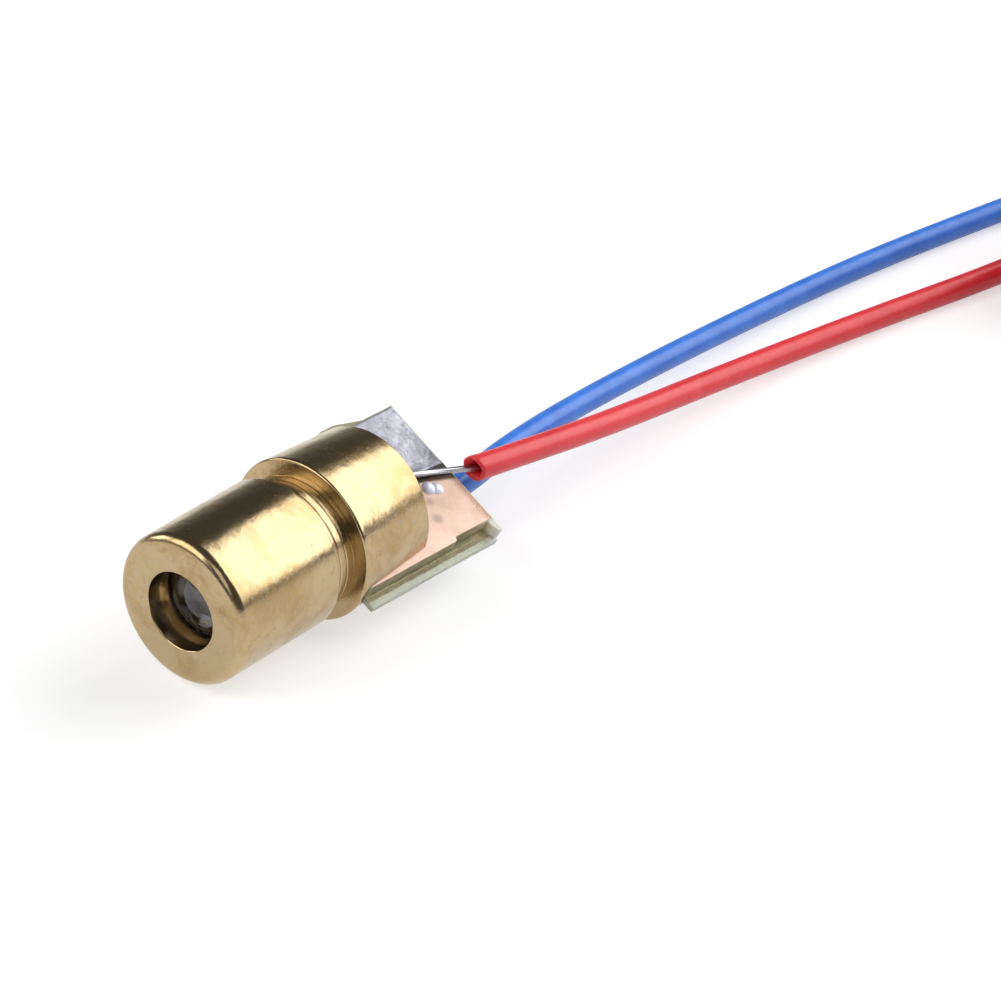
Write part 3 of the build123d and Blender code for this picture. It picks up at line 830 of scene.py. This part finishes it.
# Copper: its outer edge follows the broken laminate, with a thin strip forward to the chip
foil = {"gap": 0.15, "near": 2.73, "nearSlant": 0.03, "stepNear": 2.91, "front": 7.25, "rear": 14.15,
        "slant": 0.06, "top": 0.44, "strip": 0.9, "stripFront": 5.15, "rough": 0.014, "spacing": 0.05}
stripEdge = foil["gap"] + foil["strip"]
foilOutline = [
    (foil["gap"], foil["rear"] + foil["slant"]), (foil["gap"], foil["stripFront"]),
    (stripEdge, foil["stripFront"]), (stripEdge, foil["front"]), (foil["stepNear"], foil["front"]),
    (foil["stepNear"], stepEnd), (foil["near"], slopeEnd), (foil["near"] + foil["nearSlant"], foil["rear"])]
copperLayer = layer(foilOutline, board["top"], foil["top"], lambda u, v: np.full(len(u), foil["rough"]),
                    seed=5, spacing=foil["spacing"])
newPiece("copperField", [copperLayer], copperFoil, "rear", ["copper_field"], sharp=40)

# Tinned field: a height over the board that falls to its edges, swells slowly from place to place
# and rises in a hollow curve to the strand that lies in it
tin = {"far": -3.19, "near": -0.15, "front": 10.6, "rear": 14.15, "slant": 0.022, "coat": 0.05, "rise": 0.16,
       "reach": 0.42, "hollow": 1.6, "swell": 0.012, "swellWaves": 9, "swellPace": 0.9,
       "swellLimits": (-0.02, 0.03), "border": 0.1, "fall": 0.5, "lift": 0.004, "rows": 90, "columns": 100}
strand = {"start": (-0.45, 11.85, 0.58), "radius": 0.13, "bow": -0.02, "drop": 0.15, "lobes": 5, "lobe": 0.06,
          "twist": 9, "waver": 0.03, "waves": 5, "ends": 0.03, "rows": 48, "columns": 32,
          "blueStart": (0.45, 12.9, -0.64)}
mouth = toBoard(np.array([redRoute[0]]) * mm)[0]


def toStrand(u, v):
    # Distance over the board to the line of the red strand
    a, d = np.array(strand["start"][:2]), mouth[:2] - np.array(strand["start"][:2])
    t = np.clip(((u - a[0]) * d[0] + (v - a[1]) * d[1]) / (d @ d), 0, 1)
    return np.hypot(u - a[0] - t * d[0], v - a[1] - t * d[1])


u, share = np.meshgrid(np.linspace(tin["far"], tin["near"], tin["rows"]), np.linspace(0, 1, tin["columns"]),
                       indexing="ij")
tinRear = tin["rear"] + tin["slant"] * (edge - u)
v = tin["front"] + (tinRear - tin["front"]) * share
border = np.minimum.reduce([u - tin["far"], tin["near"] - u, v - tin["front"], tinRear - v])
swell = wobble(12, tin["swellWaves"], u * tin["swellPace"], v * tin["swellPace"]) * tin["swell"]
edgeFall = np.clip(border / tin["border"], 0, 1)
climb = tin["rise"] * np.exp(-(toStrand(u, v) / tin["reach"]) ** 2 * tin["hollow"])
cover = tin["coat"] + np.clip(swell, *tin["swellLimits"]) + climb
top = board["top"] + tin["lift"] + edgeFall ** tin["fall"] * cover
tinTop = np.stack([u, v, top], -1).reshape(-1, 3)
tinUnder = np.stack([u, v, np.full_like(u, board["top"])], -1).reshape(-1, 3)
rows, columns = u.shape
ring = np.concatenate([np.arange(columns), np.arange(1, rows) * columns + columns - 1,
                       (rows - 1) * columns + np.arange(columns - 2, -1, -1),
                       np.arange(rows - 2, 0, -1) * columns])
after = np.roll(ring, -1)
skirt = np.column_stack([ring, after, after + rows * columns, ring + rows * columns])
sheet = gridFaces(rows, columns, False, False)
tinFaces = np.concatenate([sheet, sheet[:, ::-1] + rows * columns, skirt])
newPiece("tinnedField", [(fromBoard(np.concatenate([tinTop, tinUnder])), tinFaces)], dullSolder, "rear",
         ["tinned_field"], sharp=50)

# Solder mounds: the two joints, and the bead of two lobes beside the red one
heap = {"rows": 26, "columns": 64, "waver": 0.05, "outlineWaves": 4, "topWaves": 3}
mounds = {  # material, node, and each lobe's centre, sizes, height, base, seed and power
    "redJoint": (dullSolder, "solder_joint_red", [((-0.5, 11.85), (0.5, 0.62), 0.3, 0.45, 21, 0.9)]),
    "bead": (brightSolder, "solder_blob", [((0.5, 12.77), (0.29, 0.31), 0.17, 0.44, 25, 0.75),
                                           ((0.68, 13.07), (0.28, 0.29), 0.15, 0.44, 27, 0.75)]),
    "blueJoint": (dullSolder, "solder_joint_blue", [((0.45, 12.9), (0.52, 0.55), -0.4, -0.44, 29, 0.8)])}


def mound(centre, sizes, height, base, seed, power):
    # A wavy round outline whose height falls from the middle by a power of one less the radius squared
    rho = np.linspace(0, 1, heap["rows"])[:, None]
    angle = circleAngles(heap["columns"])
    outline = 1 + heap["waver"] * wobble(seed, heap["outlineWaves"], angle)
    uneven = 1 + heap["waver"] * wobble(seed + 1, heap["topWaves"], angle) * rho
    level = base + height * (1 - rho ** 2) ** power * uneven
    points = np.stack([centre[0] + sizes[0] * rho * outline * np.cos(angle),
                       centre[1] + sizes[1] * rho * outline * np.sin(angle), level], -1)
    under = points[-1:].copy()
    under[..., :2] = centre
    under[..., 2] = base
    points = np.concatenate([points, under]).reshape(-1, 3)
    return fromBoard(points), gridFaces(heap["rows"] + 1, heap["columns"])


for name, (material, node, lobes) in mounds.items():
    newPiece(name, [mound(*lobe) for lobe in lobes], material, "rear", [node], sharp=60)


# Bare strands: a bundle with shallow twisted lobes, bowed a little over its length
def bareStrand(name, start, end, bow, node, seed):
    t = np.linspace(0, 1, strand["rows"])
    points = start + t[:, None] * (end - start) + (bow * 4 * t * (1 - t))[:, None] * boardTurn[:, 2] * mm
    angle = circleAngles(strand["columns"])
    twisted = strand["lobe"] * np.cos(strand["lobes"] * angle + strand["twist"] * t[:, None])
    waver = strand["waver"] * wobble(seed, strand["waves"], fullTurn * t)[:, None]
    closing = np.clip(np.minimum(t, 1 - t) / strand["ends"], 0, 1) ** 0.5
    radius = strand["radius"] * mm * (1 + twisted + waver) * closing[:, None]
    newPiece(name, [tube(points, radius, boardTurn[:, 2], strand["columns"])], tinnedWire, "rear",
             [node])


redStart = fromBoard(np.array([strand["start"]]))[0]
redStop = (redPoints[0] - strand["drop"] * boardTurn[:, 2]) * mm
blueStart = fromBoard(np.array([strand["blueStart"]]))[0]
bareStrand("redStrand", redStart, redStop, strand["bow"], "red_conductor", seed=31)
bareStrand("blueStrand", blueStart, bluePoints[0] * mm, 0.0, "blue_conductor", seed=37)

# Cut ends of the insulation: place along the lead and radius, from the outside round the lip inwards
cut = {"profile": [(1.5, 0.49), (1.1, 0.503), (0.55, 0.508), (0.25, 0.512), (0.08, 0.518), (0.0, 0.505),
                   (-0.03, 0.45), (-0.01, 0.38), (0.05, 0.31), (0.2, 0.27), (1.2, 0.25)],
       "reach": 0.5, "waver": 0.035, "lipWaves": 6, "flare": 0.02, "flareWaves": 5, "columns": 72}


def cutEnd(name, route, material, back, lip, longest, seed):
    # The profile turned about the lead, its lip further forward at some angles
    start, ahead = np.array(route[0]), np.array(route[1]) - np.array(route[0])
    ahead = ahead / np.linalg.norm(ahead)
    side = np.cross(ahead, (0, 0, 1))
    side /= np.linalg.norm(side)
    over = np.cross(side, ahead)
    angle = circleAngles(cut["columns"])
    reach = lip * (0.5 + 0.5 * np.cos(angle - longest)) + cut["waver"] * wobble(seed, cut["lipWaves"], angle)
    profile = np.array(cut["profile"])
    share = np.clip(1 - profile[:, 0] / cut["reach"], 0, 1)[:, None]
    axial = back + profile[:, :1] - share * reach[None, :]
    flare = 1 + cut["flare"] * share * wobble(seed + 1, cut["flareWaves"], angle)[None, :]
    outward = np.cos(angle)[None, :, None] * side + np.sin(angle)[None, :, None] * over
    points = start + axial[..., None] * ahead + (profile[:, 1:] * flare)[..., None] * outward
    faces = gridFaces(len(profile), cut["columns"], True)
    return newPiece(name, [(points.reshape(-1, 3) * mm, faces)], material, "rear", sharp=60)


redEnd = cutEnd("redEnd", redRoute, redVinyl, back=0.24, lip=0.13, longest=2.4, seed=41)
blueEnd = cutEnd("blueEnd", blueRoute, blueVinyl, back=0.3, lip=0.08, longest=1.0, seed=47)
print("stage: board made")

# Better materials on the CAD nodes that stay
keptNodes = {"underside_fields": copperFoil, "chip_mount": plated, "laser_chip": crystal, "bond_wire": gold,
             "series_resistor": ceramic, "resistor_caps": tinnedWire, "resistor_solder": brightSolder}
for node, material in keptNodes.items():
    kept = bpy.data.objects[node]
    kept.data.materials.clear()
    kept.data.materials.append(material)

# Light: a large softbox behind and to the right, a fill at the front left, a weak one at the front
# right and a small one at the left. Each has its direction, distance, size and radiance
lamps = {"backBox": ((0.385, 0.72, 0.53), 0.36, (0.40, 0.35), 2.9),
         "frontFill": ((-0.40, -0.66, 0.63), 0.45, (0.34, 0.3), 2.8),
         "sideFill": ((0.42, -0.68, 0.60), 0.45, (0.2, 0.3), 1.0),
         "leftGlint": ((-0.87, -0.28, 0.40), 0.4, (0.14, 0.14), 4.0)}
for name, (direction, distance, size, radiance) in lamps.items():
    data = bpy.data.lights.new(name, "AREA")
    data.shape = "RECTANGLE"
    data.size, data.size_y = size
    data.energy = radiance * math.pi * size[0] * size[1]
    lamp = bpy.data.objects.new(name, data)
    lamp.location = Vector(direction).normalized() * distance
    lamp.rotation_euler = Vector(direction).to_track_quat("Z", "Y").to_euler()
    scene.collection.objects.link(lamp)

# Floor: pale paper that the camera and reflections see lit up, less so far behind on the right
paper = {"half": 1.5, "colour": (0.6, 0.6, 0.6, 1), "glow": 0.58, "farGlow": 0.14,
         "dimming": (0.834, 0.552, 0.0), "near": 0.03, "far": 0.16}
floorMaterial, floorShader = newMaterial("floorPaper", Roughness=0.9, Specular_IOR_Level=0.0,
                                         Emission_Color=(1, 1, 1, 1), Base_Color=paper["colour"])
rays = floorShader.id_data.nodes.new("ShaderNodeLightPath").outputs
seen = calc("MAXIMUM", rays["Is Camera Ray"],
            calc("MAXIMUM", rays["Is Glossy Ray"], rays["Is Transmission Ray"]))
away = vector("DOT_PRODUCT", coordinates(floorShader, "Object"), paper["dimming"], out="Value")
fading = ramp(away, paper["near"], paper["far"], paper["glow"], paper["farGlow"])
wire(floorShader, Emission_Strength=times(seen, fading))
floorMesh = bpy.data.meshes.new("floor")
half = paper["half"]
floorMesh.from_pydata([(-half, -half, 0), (half, -half, 0), (half, half, 0), (-half, half, 0)], [],
                      [(0, 1, 2, 3)])
floorMesh.transform(Matrix.Translation((0, 0, cadLow[2])))
floorMesh.materials.append(floorMaterial)
floor = bpy.data.objects.new("floor", floorMesh)
scene.collection.objects.link(floor)

# Surround: brightest at the horizon on the left, dim overhead
surround = {"horizon": (-0.6, 0.5, 0.28, 0.09), "climb": (0.0, 0.55, 1.0, 0.1), "least": 0.085}
world = bpy.data.worlds.new("surround")
scene.world = world
world.use_nodes = True
sky = world.node_tree.nodes["Background"]
heading = parts(coordinates(sky, "Generated"))
horizon = times(ramp(heading[0], *surround["horizon"]), ramp(heading[2], *surround["climb"]))
wire(sky, Strength=calc("MAXIMUM", surround["least"], horizon))
sky.inputs["Color"].default_value = (1, 1, 1, 1)
print("stage: light set")
